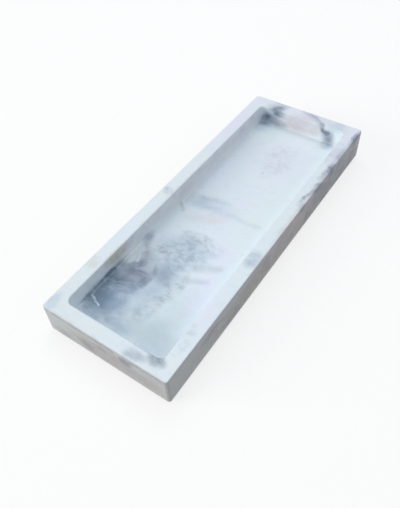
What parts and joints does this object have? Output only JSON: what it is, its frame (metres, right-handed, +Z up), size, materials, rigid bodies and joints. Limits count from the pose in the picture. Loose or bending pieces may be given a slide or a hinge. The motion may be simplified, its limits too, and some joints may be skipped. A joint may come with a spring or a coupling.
{
  "type": "tea tray",
  "caption": "Long shallow rectangular tea tray with a broad flat rim, an open coved recess and small anti-slip pads underneath.",
  "frame": {"origin": "centre of the footprint, on the surface that the pads stand on", "axes": "+X along the length, +Z up out of the recess, -Y the long side that faces the user"},
  "size_m": [0.3, 0.11, 0.0305],
  "materials": {
    "cast_marble": "satin, pale blue-white with smoky blue-grey marbling",
    "silicone_pad": "matt translucent white"
  },
  "bodies": {
    "root": {"tray_body": "cast_marble", "pad_front_left": "silicone_pad", "pad_front_right": "silicone_pad", "pad_back_left": "silicone_pad", "pad_back_right": "silicone_pad"}
  },
  "joints": []
}
